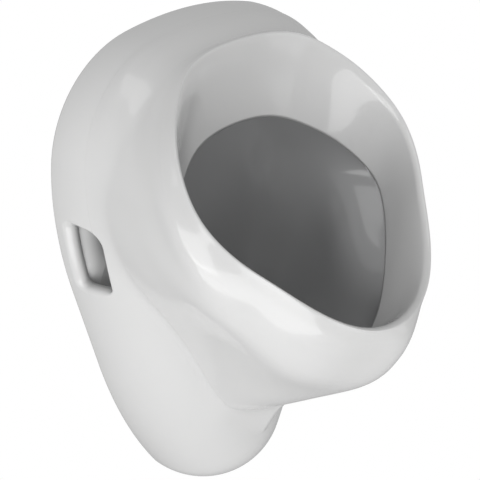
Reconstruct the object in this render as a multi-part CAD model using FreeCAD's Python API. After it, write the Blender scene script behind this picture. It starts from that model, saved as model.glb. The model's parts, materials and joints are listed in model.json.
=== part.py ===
# Wall hung urinal, in millimetres. +Z is up and the front faces -Y. The wall is the plane y = 0.
# The origin lies on the wall, midway between the two fixing holes.
import FreeCAD, Part
import math
import os
from FreeCAD import Vector

# ---- Driving sizes of the ceramic -------------------------------------------------------------
WIDTH = 340.0            # widest, across the wall
TOP = 180.0              # top edge above the fixing holes
WIDEST = 35.0            # height at which the body is widest
TOP_R = 370.0            # radius of the flat crown
SHOULDER_R = 115.0       # radius of the upper shoulders
SIDE_R = 270.0           # radius of the upper sides
FLANK_R = 417.0          # radius of the sides just below the widest point
FLANK_LEAN = 11.2        # degrees that the straight flank leans in
FLANK_END = -145.0       # height at which the straight flank ends
BULB_R = 92.5            # round trap housing at the foot
BULB_Z = -275.5          # height of its centre
TRUNK_DEPTH = 96.0       # how far the body behind the bowl stands off the wall
WALL = 11.0              # ceramic wall

RIM_TOP_Y = -64.0        # highest point of the rim's crest
RIM_TOP_Z = 162.0
RIM_TILT = 42.49         # degrees that the plane of the rim leans back from upright
RIM_LENGTH = 280.4       # along its slope, crest to crest
RIM_HALF = WIDTH / 2 - 27.7

COLLAR_DEPTH = 62.0      # from the crest to the sharp edge where the grey bowl starts
COLLAR_WALL = 9.0
EDGE_HALF = RIM_HALF - 8.3
EDGE_TOP = 53.7          # where it starts and ends, measured down the slope of the rim
EDGE_END = RIM_LENGTH + 2.6

BOWL_WALL = 7.0          # inner bowl
BOWL_GAP = 0.3           # round the inner bowl inside the shell
DRAIN_Z = -196.0         # floor round the drain
DRAIN_R = 34.0           # radius of that floor
DRAIN_FLOOR = 12.0       # its thickness
DRAIN_HOLE_R = 24.0
TRAP_Y = -44.0           # axis of the drain and of the trap

# ---- Side slots and fixing lugs ---------------------------------------------------------------
SLOT_BACK = -16.0        # rear edge of the slot
SLOT_FRONT = -47.0
SLOT_LOW = -36.0
SLOT_HIGH = 29.0
SLOT_R = 5.0             # its small corners
SLOT_BIG_R = 17.0        # the upper front corner
SLOT_INNER_X = WIDTH / 2 - 60.0  # how far in the slot reaches
FIXING_X = WIDTH / 2 - 55.0      # fixing holes, each side of the middle
LUG_DEPTH = 14.0
LUG_INNER_X = FIXING_X - 24.0
LUG_TOP = 29.0           # how far it reaches above the fixing hole
LUG_FOOT = 68.0          # and below, so that it closes the view through the slot
STUD_HOLE_R = 5.25       # for M10 wall studs
SLEEVE_WALL = 2.75
SLEEVE_FLANGE_R = 12.0
SLEEVE_FLANGE = 2.0

# ---- Flush inlet ------------------------------------------------------------------------------
INLET_Z = 82.0
INLET_BOSS_R = 17.0
INLET_BOSS_FRONT = -33.0
INLET_BOSS_BACK = -21.0
STEM_R = 9.5
STEM_BORE_R = 6.0
NOZZLE_R = 11.0
NOZZLE_HEAD = 5.0
WASHER = 2.0
NUT = 5.0
NUT_AF = 27.0            # across the flats
STEM_END = -8.0          # rear end of the nozzle's stem
NOZZLE_FACE = 2.0        # thickness behind the jets
JETS = 2                 # jets each side of the middle one
JET_R = 0.9
JET_STEP = 24.0          # degrees between them
STEM_GRIP_END = -11.0    # where the rubber socket stops gripping the stem
SOCKET_MOUTH = -1.0
INLET_SEAL_START = -7.0
INLET_SEAL_LENGTH = 5.0
PIPE_SOCKET_R = 19.0
PIPE_SOCKET_WALL = 3.5
FLUSH_PIPE_R = 14.0

# ---- Waste set --------------------------------------------------------------------------------
SEAL = 2.0               # flat seals
FLANGE_R = 31.0
FLANGE = 3.0
WASTE_TUBE_R = 22.5
WASTE_BORE_R = 19.5
WASTE_TUBE_END = -236.0
LOWER_SEAL = 4.0
WASTE_NUT = 10.0
WASTE_NUT_R = 33.0
TRAP_R = 27.0
TRAP_WALL = 2.5
TRAP_END = -312.0        # underside of the cap
CAP_R = 28.5
CAP_HEIGHT = 12.0
CAP_FLOOR = 3.0
DIP_R = 12.0
DIP_WALL = 2.0
DIP_END = -298.0
STRAINER_R = 27.0
STRAINER = 2.5
STRAINER_DOME = 5.0
RING_SECTION = 2.4       # O-rings
OUTLET_Z = -254.0
OUTLET_R = 20.0          # 40 mm waste pipe
OUTLET_WALL = 2.0
OUTLET_BEAD_R = 22.0     # stop bead on the pipe, just inside the wall plane
OUTLET_REACH = 45.0      # into the wall
SOCKET_WALL = 3.0
SOCKET_END = -7.0
OUTLET_NUT_R = 30.5
OUTLET_NUT = 12.0
OUTLET_NUT_FACE = 3.0    # its end wall, behind the seal
OUTLET_SEAL = 3.0
SOCKET_START = -20.0     # where the outlet pipe stops in the socket
NECK_END = -239.0        # where the neck of the trap opens into its bottle
CAP_GROOVES = 24
DIP_COLLAR_TOP = -210.0
DIP_COLLAR = 10.0        # length of the collar that slides in the waste
DIP_RING_Z = -215.0
STRAINER_SLOTS = 12

# ---- Clearances -------------------------------------------------------------------------------
FIT = 0.3                # between screwed and stacked parts
CLEAR = 0.3              # radial, round threads and tubes
RUN = 0.08               # radial, where the dip tube slides in the waste

# ---- Outline shapes ---------------------------------------------------------------------------
# Right half of each closed section, from its top to its foot: share of the half width, share of
# the length. The same ten stations are used throughout, so that the skins run smoothly.
FOOT_SHAPE = [(0, 0), (.565, .019), (.825, .092), (.942, .175), (1, .305),
              (.935, .445), (.755, .600), (.560, .780), (.37, .938), (0, 1)]
LIP_SHAPE = [(0, 0), (.50, .040), (.735, .133), (.90, .248), (1, .425),
             (.918, .575), (.750, .690), (.570, .832), (.19, .955), (0, 1)]
RIM_SHAPE = [(0, 0), (.50, .040), (.735, .133), (.90, .248), (1, .425),
             (.93, .575), (.79, .690), (.595, .832), (.33, .955), (0, 1)]
FULL_SHAPE = [(0, 0), (.526, .034), (.764, .123), (.914, .231), (1, .395),
              (.935, .57), (.78, .695), (.588, .836), (.25, .95), (0, 1)]
EDGE_SHAPE = [(0, 0), (.40, .037), (.66, .135), (.86, .26), (1, .45),
              (.945, .575), (.80, .69), (.565, .828), (.28, .95), (0, 1)]
BASIN_SHAPE = [(0, 0), (.45, .030), (.74, .140), (.90, .27), (1, .50),
               (.94, .615), (.79, .722), (.562, .842), (.285, .955), (0, 1)]
ROUND_SHAPE = [(math.sin(math.radians(20 * i)), (1 - math.cos(math.radians(20 * i))) / 2)
               for i in range(10)]

SEAM = 4                 # station at which each closed section starts, off the middle plane

# Skin of the bowl, in planes that fan out from a line across the top of the body, which lies on
# the plane of the rim: lean of the plane, how far its side lies in from half the full width,
# distance of its top from that line, how much further than the rim its foot reaches, share of
# FULL_SHAPE, or of LIP_SHAPE in the last four, which roll the lip over to its crest.
FAN_ABOVE = 52.0         # how far up the slope the line lies above the crest
FAN = [(8.8, 12.5, 36.0, 99.3, 0.0),
       (12.0, 12.4, 36.5, 89.6, 0.10),
       (17.0, 12.4, 38.0, 76.1, 0.30),
       (22.0, 12.5, 40.0, 64.6, 0.50),
       (27.0, 12.6, 43.0, 56.6, 0.73),
       (33.0, 13.0, 46.0, 46.1, 1.0),
       (38.0, 14.4, 48.8, 29.3, 1.0),
       (40.8, 22.2, 50.4, 15.9, 0.8),
       (42.0, 26.3, 51.4, 5.6, 0.4),
       (RIM_TILT, WIDTH / 2 - RIM_HALF, FAN_ABOVE, 0.0, 0.0)]
LIP_ROWS = 3             # rows after the widest part of the lip
HOLLOW_LEAN = 5.0        # where the hollow of the bowl starts, inside the trunk
# Collar inside the mouth: depth, how far its side lies in from the rim's, its top down the
# slope, how far its foot stops short of the rim's, share of EDGE_SHAPE.
CREST_FLAT = 0.8
COLLAR = [(0.0, CREST_FLAT, CREST_FLAT, CREST_FLAT, 0.0),
          (2.5, 3.5, 4.0, 3.4, 0.0),
          (8.0, 5.1, 9.0, 4.4, 0.10),
          (25.0, 6.1, 22.0, 1.9, 0.4),
          (45.0, 7.1, 38.5, -0.6, 0.75),
          (COLLAR_DEPTH, RIM_HALF - EDGE_HALF, EDGE_TOP, RIM_LENGTH - EDGE_END, 1.0)]
BASIN_TOP = 25.7         # its top in the plane of the edge, measured down the slope of the rim
BASIN_EDGE_STEP = 2.0    # how much wider than the collar's edge it starts
# Sections that turn from the slope of the rim to level at the drain: back Y and Z, how far the
# front has come along the line from the collar's edge to the drain, how far it bulges out from
# that line, how far the side lies in from the edge's, share of ROUND_SHAPE.
BASIN = [((-21.0, 45.0), 0.109, 10.7, 18.0, 0.0),
         ((-16.0, -15.0), 0.283, 14.0, 34.0, 0.0),
         ((-13.0, -75.0), 0.485, 12.2, 50.0, 0.15),
         ((-10.5, -150.0), 0.777, 7.2, 79.0, 0.5)]


def rim_point(x, along, depth):
    """A point on a plane parallel to the rim, at a depth behind its crest."""
    lean = math.radians(RIM_TILT)
    y = RIM_TOP_Y - along * math.sin(lean) + depth * math.cos(lean)
    z = RIM_TOP_Z - along * math.cos(lean) - depth * math.sin(lean)
    return Vector(x, y, z)


def blend(shape_a, shape_b, share):
    """A shape part of the way from one to another."""
    return [(ax + (bx - ax) * share, at + (bt - at) * share)
            for (ax, at), (bx, bt) in zip(shape_a, shape_b)]


def closed_curve(points):
    """A smooth closed wire through points given for the right half, mirrored to the left."""
    left = [Vector(-p.x, p.y, p.z) for p in reversed(points[1:-1])]
    curve = Part.BSplineCurve()
    curve.interpolate(Points=points[SEAM:] + left + points[:SEAM], PeriodicFlag=True)
    return Part.Wire([curve.toShape()])


def loft(wires):
    return Part.makeLoft(wires, True, False)


def cylinder(radius, y_or_z, end, axis, x=0.0, across=0.0):
    """A round bar along Y or Z from one end to the other."""
    length = end - y_or_z
    if axis == "Y":
        return Part.makeCylinder(radius, length, Vector(x, y_or_z, across), Vector(0, 1, 0))
    return Part.makeCylinder(radius, length, Vector(x, across, y_or_z), Vector(0, 0, 1))


def ring(outer, inner, start, end, axis, x=0.0, across=0.0):
    return cylinder(outer, start, end, axis, x, across).cut(
        cylinder(inner, start - 1, end + 1, axis, x, across))


# ---- Trunk: the body behind the bowl, with the round trap housing -----------------------------
def trunk_arcs():
    """Tangent arcs of the right half of the wall outline: centre, radius, start and end angle."""
    crown = Vector(0, TOP - TOP_R)
    side = Vector(WIDTH / 2 - SIDE_R, WIDEST)
    apart = (side - crown).Length
    crown_reach = TOP_R - SHOULDER_R
    side_reach = SIDE_R - SHOULDER_R
    along = (crown_reach ** 2 - side_reach ** 2 + apart ** 2) / (2 * apart)
    aside = math.sqrt(crown_reach ** 2 - along ** 2)
    line = (side - crown) * (1 / apart)
    shoulder = crown + line * along + Vector(line.y, -line.x) * aside
    if shoulder.x < 0:
        shoulder = crown + line * along - Vector(line.y, -line.x) * aside
    top_angle = math.atan2(shoulder.y - crown.y, shoulder.x - crown.x)
    side_angle = math.atan2(shoulder.y - side.y, shoulder.x - side.x)
    lean = math.radians(FLANK_LEAN)
    flank = Vector(WIDTH / 2 - FLANK_R, WIDEST)
    outward = Vector(math.cos(lean), -math.sin(lean))
    flank_start = flank + outward * FLANK_R
    fall = flank_start.y - FLANK_END
    flank_end = flank_start + Vector(-math.tan(lean) * fall, -fall)
    bulb = Vector(0, BULB_Z)
    reach = flank_end - bulb
    waist_r = (reach.dot(reach) - BULB_R ** 2) / (2 * (reach.dot(outward) - BULB_R))
    waist = flank_end - outward * waist_r
    foot_angle = math.atan2(bulb.y - waist.y, bulb.x - waist.x)
    return [(crown, TOP_R, math.pi / 2, top_angle),
            (shoulder, SHOULDER_R, top_angle, side_angle),
            (side, SIDE_R, side_angle, 0.0),
            (flank, FLANK_R, 0.0, -lean),
            (waist, waist_r, -lean, foot_angle),
            (bulb, BULB_R, foot_angle, -math.pi / 2)]


def trunk_outline(y, inset):
    """The wall outline drawn in by an inset, at a distance from the wall."""
    def spot(arc, angle, mirror):
        centre, radius = arc[0], arc[1] - inset
        return Vector(mirror * (centre.x + radius * math.cos(angle)), y,
                      centre.y + radius * math.sin(angle))

    right, left = [], []
    arcs = trunk_arcs()
    for number, arc in enumerate(arcs):
        start, end = arc[2], arc[3]
        for mirror, edges in ((1, right), (-1, left)):
            points = [spot(arc, a, mirror) for a in (start, (start + end) / 2, end)]
            edges.append(Part.Arc(*points).toShape())
            if number < len(arcs) - 1:
                following = spot(arcs[number + 1], end, mirror)
                if (following - points[2]).Length > 0.01:
                    edges.append(Part.LineSegment(points[2], following).toShape())
    return Part.Wire(right + left[::-1])


def trunk(skin):
    """The trunk, or the hollow inside it when the skin is the wall's thickness."""
    depth = TRUNK_DEPTH - skin
    radius = BULB_R - skin
    wires = []
    for degrees in (0, 12, 25, 38, 50, 62, 73, 82, 88):
        turn = math.radians(degrees)
        wires.append(trunk_outline(-depth * math.sin(turn), skin + radius * (1 - math.cos(turn))))
    return loft(wires)


# ---- Bowl skin and collar ---------------------------------------------------------------------
def fan_section(row, skin):
    lean, inward, top, beyond, share = row
    half = WIDTH / 2 - inward
    foot = FAN_ABOVE + RIM_LENGTH + beyond
    base = RIM_SHAPE if row in FAN[-LIP_ROWS:] else FOOT_SHAPE
    goal = LIP_SHAPE if row in FAN[-LIP_ROWS - 1:] else FULL_SHAPE
    hinge = rim_point(0, -FAN_ABOVE, 0)
    turn = math.radians(lean)
    points = []
    for x, t in blend(base, goal, share):
        reach = top + skin + (foot - top - 2 * skin) * t
        points.append(Vector(x * (half - skin), hinge.y - reach * math.sin(turn),
                             hinge.z - reach * math.cos(turn)))
    return closed_curve(points)


def rim_section(shape, depth, half, top, foot):
    points = [rim_point(x * half, top + (foot - top) * t, depth) for x, t in shape]
    return closed_curve(points)


def bowl_skin():
    """Everything inside the outer skin of the bowl, up to the crest of its lip."""
    return loft([fan_section(row, 0.0) for row in FAN])


def bowl_hollow():
    """The hollow behind the bowl. It starts further back, so that it opens into the trunk's."""
    start = (HOLLOW_LEAN,) + FAN[0][1:]
    return loft([fan_section(row, WALL) for row in [start] + FAN[:-LIP_ROWS - 1]])


def collar_void():
    """The open space inside the collar, from the crest down to the sharp edge."""
    wires = []
    for depth, inward, top, short, share in COLLAR:
        wires.append(rim_section(blend(RIM_SHAPE, EDGE_SHAPE, share), depth, RIM_HALF - inward,
                                 top, RIM_LENGTH - short))
    return loft(wires)


def collar_solid():
    """The collar with its wall. Behind the top it is thick, and roofs the grey bowl."""
    top = BASIN_TOP - BOWL_WALL
    wires = [rim_section(RIM_SHAPE, 14.0, RIM_HALF + 3.0, -2.0, RIM_LENGTH + 4.0),
             rim_section(blend(RIM_SHAPE, BASIN_SHAPE, 0.5), 38.0, EDGE_HALF + COLLAR_WALL + 1.0,
                         7.0, EDGE_END + 6.0),
             rim_section(BASIN_SHAPE, COLLAR_DEPTH, EDGE_HALF + COLLAR_WALL, top,
                         EDGE_END + COLLAR_WALL)]
    return loft(wires)


# ---- Grey inner bowl --------------------------------------------------------------------------
def basin(skin, lead=0.0):
    """The space inside the grey bowl, or with its wall all round. It starts a lead early."""
    half = EDGE_HALF + BASIN_EDGE_STEP + skin
    wires = [rim_section(BASIN_SHAPE, COLLAR_DEPTH - lead, half, BASIN_TOP - skin,
                         EDGE_END + BASIN_EDGE_STEP + skin)]
    edge = rim_point(0, EDGE_END, COLLAR_DEPTH)
    line = Vector(0, TRAP_Y - DRAIN_R, DRAIN_Z) - edge
    outward = Vector(0, line.z, -line.y) * (1 / line.Length)
    for back, come, bulge, inward, share in BASIN:
        shape = blend(FOOT_SHAPE, ROUND_SHAPE, share)
        half = EDGE_HALF - inward
        front = edge + line * come + outward * bulge
        run = Vector(0, front.y - back[0], front.z - back[1])
        along = run * (1 / run.Length)
        start = Vector(0, back[0], back[1]) - along * skin
        points = []
        for x, t in shape:
            spot = start + along * (t * (run.Length + 2 * skin))
            points.append(Vector(x * (half + skin), spot.y, spot.z))
        wires.append(closed_curve(points))
    radius = DRAIN_R + skin
    level = DRAIN_Z - DRAIN_FLOOR if skin > 0 else DRAIN_Z
    points = [Vector(x * radius, TRAP_Y + radius - 2 * radius * t, level)
              for x, t in ROUND_SHAPE]
    wires.append(closed_curve(points))
    return loft(wires)


def inner_bowl():
    boss = cylinder(INLET_BOSS_R, INLET_BOSS_FRONT, INLET_BOSS_BACK, "Y", 0, INLET_Z)
    shell = basin(BOWL_WALL).cut(basin(0.0, 2.0)).fuse(boss)
    holes = cylinder(DRAIN_HOLE_R, DRAIN_Z - DRAIN_FLOOR - 1, DRAIN_Z + 1, "Z", 0, TRAP_Y)
    stem = cylinder(STEM_R + FIT, INLET_BOSS_FRONT - 1, INLET_BOSS_BACK + 1, "Y", 0, INLET_Z)
    nut_face = cylinder(INLET_BOSS_R, INLET_BOSS_BACK, 0, "Y", 0, INLET_Z)
    return shell.cut(holes).cut(stem).cut(nut_face)


# ---- Ceramic body -----------------------------------------------------------------------------
def slot_cutter():
    """Rounded slot through the right side, in front of the fixing lug."""
    high, low = SLOT_HIGH, SLOT_LOW
    front, back = SLOT_FRONT, SLOT_BACK
    big, small = SLOT_BIG_R, SLOT_R
    k = math.sqrt(0.5)

    def corner(y, z, radius, dy, dz):
        """Arc in the corner at y, z; dy and dz point from the corner into the slot."""
        cy, cz = y + dy * radius, z + dz * radius
        ends = [Vector(0, cy, z), Vector(0, y, cz)]
        middle = Vector(0, cy - dy * radius * k, cz - dz * radius * k)
        return ends, middle

    corners = [corner(front, high, big, 1, -1), corner(front, low, small, 1, 1),
               corner(back, low, small, -1, 1), corner(back, high, small, -1, -1)]
    order = [(corners[0], 0), (corners[1], 1), (corners[2], 0), (corners[3], 1)]
    edges = []
    last = None
    first = None
    for (ends, middle), swap in order:
        a, b = (ends[1], ends[0]) if swap else (ends[0], ends[1])
        if last is not None:
            edges.append(Part.LineSegment(last, a).toShape())
        else:
            first = a
        edges.append(Part.Arc(a, middle, b).toShape())
        last = b
    edges.append(Part.LineSegment(last, first).toShape())
    face = Part.Face(Part.Wire(edges))
    face.translate(Vector(SLOT_INNER_X, 0, 0))
    return face.extrude(Vector(WIDTH / 2 + 10 - SLOT_INNER_X, 0, 0))


def mirrored(shape):
    return shape.mirror(Vector(0, 0, 0), Vector(1, 0, 0))


def ceramic_body():
    outer_trunk = trunk(0.0)
    outer = outer_trunk.fuse(bowl_skin())
    hollow = trunk(WALL).fuse(bowl_hollow())
    collar = collar_solid()
    lug = Part.makeBox(WIDTH / 2 - LUG_INNER_X, LUG_DEPTH, LUG_TOP + LUG_FOOT,
                       Vector(LUG_INNER_X, -LUG_DEPTH, -LUG_FOOT))
    lug = lug.makeFillet(6.0, [e for e in lug.Edges
                               if abs(e.CenterOfMass.x - LUG_INNER_X) < 0.1
                               and (e.CenterOfMass.z > LUG_TOP - 0.1
                                    or e.CenterOfMass.z < 0.1 - LUG_FOOT)])
    lug = lug.common(outer_trunk)
    shell = outer.cut(hollow.cut(collar))
    shell = shell.fuse([lug, mirrored(lug)])
    shell = shell.cut(collar_void())
    shell = shell.cut(basin(BOWL_WALL + BOWL_GAP))
    slot = slot_cutter()
    hole = cylinder(STUD_HOLE_R + SLEEVE_WALL + 0.1, -LUG_DEPTH - 1, 1, "Y", FIXING_X, 0)
    return shell.cut([slot, mirrored(slot), hole, mirrored(hole)])


# ---- Fixings ----------------------------------------------------------------------------------
def both_sides(shape):
    return Part.makeCompound([mirrored(shape), shape])


def fixing_sleeves():
    """Flanged plastic sleeves that line the stud holes of the two lugs."""
    radius = STUD_HOLE_R + SLEEVE_WALL
    tube = cylinder(radius, -LUG_DEPTH, 0, "Y", FIXING_X)
    flange = cylinder(SLEEVE_FLANGE_R, -LUG_DEPTH - SLEEVE_FLANGE, -LUG_DEPTH, "Y", FIXING_X)
    bore = cylinder(STUD_HOLE_R, -LUG_DEPTH - SLEEVE_FLANGE - 1, 1, "Y", FIXING_X)
    return both_sides(tube.fuse(flange).removeSplitter().cut(bore))


# ---- Flush inlet ------------------------------------------------------------------------------
def on_inlet(radius, start, end):
    return cylinder(radius, start, end, "Y", 0, INLET_Z)


def nozzle_washer():
    return ring(NOZZLE_R, STEM_R + CLEAR, INLET_BOSS_FRONT - WASHER, INLET_BOSS_FRONT, "Y",
                0, INLET_Z)


def spray_nozzle():
    """Domed head with three rows of jets that point down the bowl, on a hollow threaded stem."""
    face = INLET_BOSS_FRONT - WASHER
    head = on_inlet(NOZZLE_R, face - NOZZLE_HEAD, face)
    head = head.makeFillet(NOZZLE_HEAD * 0.6, [e for e in head.Edges
                                               if e.CenterOfMass.y < face - NOZZLE_HEAD + 0.1
                                               and e.Length > 2 * NOZZLE_R])
    body = head.fuse(on_inlet(STEM_R, face, STEM_END)).removeSplitter()
    body = body.cut(on_inlet(STEM_BORE_R, face - NOZZLE_HEAD + NOZZLE_FACE, STEM_END + 1))
    jets = []
    for number in range(-JETS, JETS + 1):
        jet = Part.makeCylinder(JET_R, NOZZLE_HEAD + 6,
                                Vector(0, face - NOZZLE_HEAD + NOZZLE_FACE + 1, INLET_Z),
                                Vector(0, -1, -0.6))
        jet.rotate(Vector(0, 0, INLET_Z), Vector(0, 1, 0), number * JET_STEP)
        jets.append(jet)
    return body.cut(jets)


def nozzle_nut():
    corner = NUT_AF / 2 / math.cos(math.radians(30))
    points = [Vector(corner * math.cos(math.radians(60 * i)), INLET_BOSS_BACK,
                     INLET_Z + corner * math.sin(math.radians(60 * i))) for i in range(7)]
    blank = Part.Face(Part.makePolygon(points)).extrude(Vector(0, NUT, 0))
    return blank.cut(on_inlet(STEM_R + CLEAR, INLET_BOSS_BACK - 1, INLET_BOSS_BACK + NUT + 1))


def inlet_socket():
    """Rubber cup that grips the stem of the nozzle and takes the flush pipe from the wall."""
    start = INLET_BOSS_BACK + NUT
    cup = PIPE_SOCKET_R - PIPE_SOCKET_WALL
    body = on_inlet(PIPE_SOCKET_R, start, SOCKET_MOUTH)
    body = body.cut(on_inlet(cup, STEM_GRIP_END, SOCKET_MOUTH + 1))
    return body.cut(on_inlet(STEM_R, start - 1, STEM_GRIP_END + 1))


def inlet_seal():
    cup = PIPE_SOCKET_R - PIPE_SOCKET_WALL
    return ring(cup, FLUSH_PIPE_R, INLET_SEAL_START, INLET_SEAL_START + INLET_SEAL_LENGTH, "Y",
                0, INLET_Z)


# ---- Waste set, all round the vertical line through the drain ---------------------------------
def on_drain(radius, low, high):
    return cylinder(radius, low, high, "Z", 0, TRAP_Y)


def drain_ring(outer, inner, low, high):
    return ring(outer, inner, low, high, "Z", 0, TRAP_Y)


def waste_seal_top():
    return drain_ring(FLANGE_R - 1, WASTE_TUBE_R + CLEAR, DRAIN_Z, DRAIN_Z + SEAL)


def waste_flange():
    """Flanged waste outlet: its tube passes through the drain hole and is screwed below."""
    low, high = DRAIN_Z + SEAL, DRAIN_Z + SEAL + FLANGE
    disc = on_drain(FLANGE_R, low, high)
    disc = disc.makeFillet(1.2, [e for e in disc.Edges if e.CenterOfMass.z > high - 0.1
                                 and e.Length > FLANGE_R])
    body = disc.fuse(on_drain(WASTE_TUBE_R, WASTE_TUBE_END, low + 0.5)).removeSplitter()
    return body.cut(on_drain(WASTE_BORE_R, WASTE_TUBE_END - 1, high + 1))


def waste_seal_lower():
    under = DRAIN_Z - DRAIN_FLOOR
    return drain_ring(WASTE_NUT_R - 1, WASTE_TUBE_R + CLEAR, under - LOWER_SEAL, under)


def waste_nut():
    """Ring nut with six finger lugs."""
    high = DRAIN_Z - DRAIN_FLOOR - LOWER_SEAL
    low = high - WASTE_NUT
    body = on_drain(WASTE_NUT_R - 2, low, high)
    for number in range(6):
        turn = math.radians(60 * number)
        lug = Part.makeBox(6, 8, WASTE_NUT, Vector(WASTE_NUT_R - 6, -4, low))
        lug.rotate(Vector(0, 0, 0), Vector(0, 0, 1), math.degrees(turn))
        lug.translate(Vector(0, TRAP_Y, 0))
        body = body.fuse(lug)
    return body.removeSplitter().cut(on_drain(WASTE_TUBE_R + CLEAR, low - 1, high + 1))


def trap_body():
    """Bottle trap: screwed on to the waste tube, with a socket to the rear for the outlet."""
    top = DRAIN_Z - DRAIN_FLOOR - LOWER_SEAL - WASTE_NUT - FIT
    neck = WASTE_TUBE_R + CLEAR
    low = TRAP_END + CAP_FLOOR + RING_SECTION
    socket_bore = OUTLET_R + FIT
    outer = on_drain(neck + TRAP_WALL, NECK_END, top).fuse(on_drain(TRAP_R, low, NECK_END))
    socket = cylinder(socket_bore + SOCKET_WALL, TRAP_Y, SOCKET_END, "Y", 0, OUTLET_Z)
    outer = outer.fuse(socket).removeSplitter()
    inside = on_drain(neck, WASTE_TUBE_END - FIT, top + 1)
    inside = inside.fuse(on_drain(TRAP_R - TRAP_WALL, low - 1, NECK_END - TRAP_WALL))
    inside = inside.fuse(on_drain(WASTE_BORE_R, NECK_END - TRAP_WALL - 1, WASTE_TUBE_END))
    inside = inside.fuse(cylinder(socket_bore, SOCKET_START, SOCKET_END + 1, "Y", 0, OUTLET_Z))
    inside = inside.fuse(cylinder(OUTLET_R - OUTLET_WALL, TRAP_Y, SOCKET_END, "Y", 0, OUTLET_Z))
    return outer.cut(inside)


def trap_cap():
    """Screw cap with grip ribs, closes the foot of the trap from below."""
    body = on_drain(CAP_R, TRAP_END, TRAP_END + CAP_HEIGHT)
    body = body.cut(on_drain(TRAP_R + CLEAR, TRAP_END + CAP_FLOOR, TRAP_END + CAP_HEIGHT + 1))
    grooves = []
    for number in range(CAP_GROOVES):
        turn = math.radians(360.0 * number / CAP_GROOVES)
        grooves.append(Part.makeCylinder(
            0.9, CAP_HEIGHT - CAP_FLOOR + 1,
            Vector((CAP_R + 0.3) * math.cos(turn), TRAP_Y + (CAP_R + 0.3) * math.sin(turn),
                   TRAP_END + CAP_FLOOR), Vector(0, 0, 1)))
    return body.cut(grooves)


def round_ring(radius, height):
    return Part.makeTorus(radius, RING_SECTION / 2, Vector(0, TRAP_Y, height))


def cap_o_ring():
    """Lies on the floor of the cap, under the edge of the trap."""
    return round_ring(TRAP_R - TRAP_WALL / 2, TRAP_END + CAP_FLOOR + RING_SECTION / 2)


def strainer():
    """Domed grate over the waste, with a ring of slots and a lifting boss."""
    rest = DRAIN_Z + SEAL + FLANGE
    ball_r = (STRAINER_R ** 2 + STRAINER_DOME ** 2) / (2 * STRAINER_DOME)
    centre = Vector(0, TRAP_Y, rest + STRAINER_DOME - ball_r + STRAINER)
    dome = Part.makeSphere(ball_r, centre)
    dome = dome.cut(Part.makeSphere(ball_r - STRAINER, centre))
    dome = dome.common(on_drain(STRAINER_R, rest, rest + 3 * STRAINER_DOME))
    rim = drain_ring(STRAINER_R, STRAINER_R - 3, rest, rest + STRAINER)
    body = dome.fuse(rim).fuse(on_drain(DIP_R - DIP_WALL, rest, rest + STRAINER_DOME + STRAINER))
    slots = []
    for number in range(STRAINER_SLOTS):
        slot = Part.makeBox(9, 3, 20, Vector(DIP_R + 1, -1.5, rest - 5))
        slot.rotate(Vector(0, 0, 0), Vector(0, 0, 1), 360.0 * number / STRAINER_SLOTS)
        slot.translate(Vector(0, TRAP_Y, 0))
        slots.append(slot)
    return body.cut(slots)


def dip_tube():
    """Lifts out with the strainer. Its collar slides in the bore of the waste."""
    top = DRAIN_Z + SEAL + FLANGE
    body = on_drain(DIP_R, DIP_END, top)
    bore = on_drain(DIP_R - DIP_WALL, DIP_END - 1, top + 1)
    collar_low = DIP_COLLAR_TOP - DIP_COLLAR
    cup = on_drain(WASTE_BORE_R - RUN, collar_low, DIP_COLLAR_TOP)
    body = body.fuse(cup)
    windows = []
    for number in range(4):
        window = Part.makeBox(2 * DIP_R, 9, top - DIP_COLLAR_TOP - 5,
                              Vector(0, -4.5, DIP_COLLAR_TOP + 1))
        window.rotate(Vector(0, 0, 0), Vector(0, 0, 1), 45 + 90 * number)
        window.translate(Vector(0, TRAP_Y, 0))
        windows.append(window)
    groove = ring(WASTE_BORE_R + 1, WASTE_BORE_R - RING_SECTION,
                  DIP_RING_Z - RING_SECTION / 2, DIP_RING_Z + RING_SECTION / 2, "Z", 0, TRAP_Y)
    return body.cut(bore).cut(windows).cut(groove)


def dip_o_ring():
    return round_ring(WASTE_BORE_R - RING_SECTION / 2, DIP_RING_Z)


def outlet_pipe():
    """Waste pipe through the wall, with a stop bead behind the nut."""
    tube = cylinder(OUTLET_R, SOCKET_START, OUTLET_REACH, "Y", 0, OUTLET_Z)
    bead = cylinder(OUTLET_BEAD_R, SOCKET_END + OUTLET_SEAL + OUTLET_NUT_FACE, 0, "Y", 0, OUTLET_Z)
    bore = cylinder(OUTLET_R - OUTLET_WALL, SOCKET_START - 1, OUTLET_REACH + 1, "Y", 0, OUTLET_Z)
    return tube.fuse(bead).cut(bore)


def outlet_seal():
    return ring(OUTLET_R + FIT + SOCKET_WALL, OUTLET_R, SOCKET_END, SOCKET_END + OUTLET_SEAL,
                "Y", 0, OUTLET_Z)


def outlet_nut():
    """Clamps the seal round the pipe against the mouth of the trap's socket."""
    grip = OUTLET_R + FIT + SOCKET_WALL
    back = SOCKET_END + OUTLET_SEAL + OUTLET_NUT_FACE
    body = cylinder(OUTLET_NUT_R, back - OUTLET_NUT, back, "Y", 0, OUTLET_Z)
    body = body.cut(cylinder(grip + CLEAR, back - OUTLET_NUT - 1, back - OUTLET_NUT_FACE, "Y",
                             0, OUTLET_Z))
    return body.cut(cylinder(OUTLET_R + FIT, back - OUTLET_NUT_FACE - 1, back + 1, "Y",
                             0, OUTLET_Z))


PARTS = {make.__name__: make for make in (
    ceramic_body, inner_bowl, fixing_sleeves, spray_nozzle, nozzle_washer, nozzle_nut,
    inlet_socket, inlet_seal, strainer, dip_tube, dip_o_ring, waste_flange, waste_seal_top,
    waste_seal_lower, waste_nut, trap_body, trap_cap, cap_o_ring, outlet_pipe, outlet_nut,
    outlet_seal)}


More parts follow.
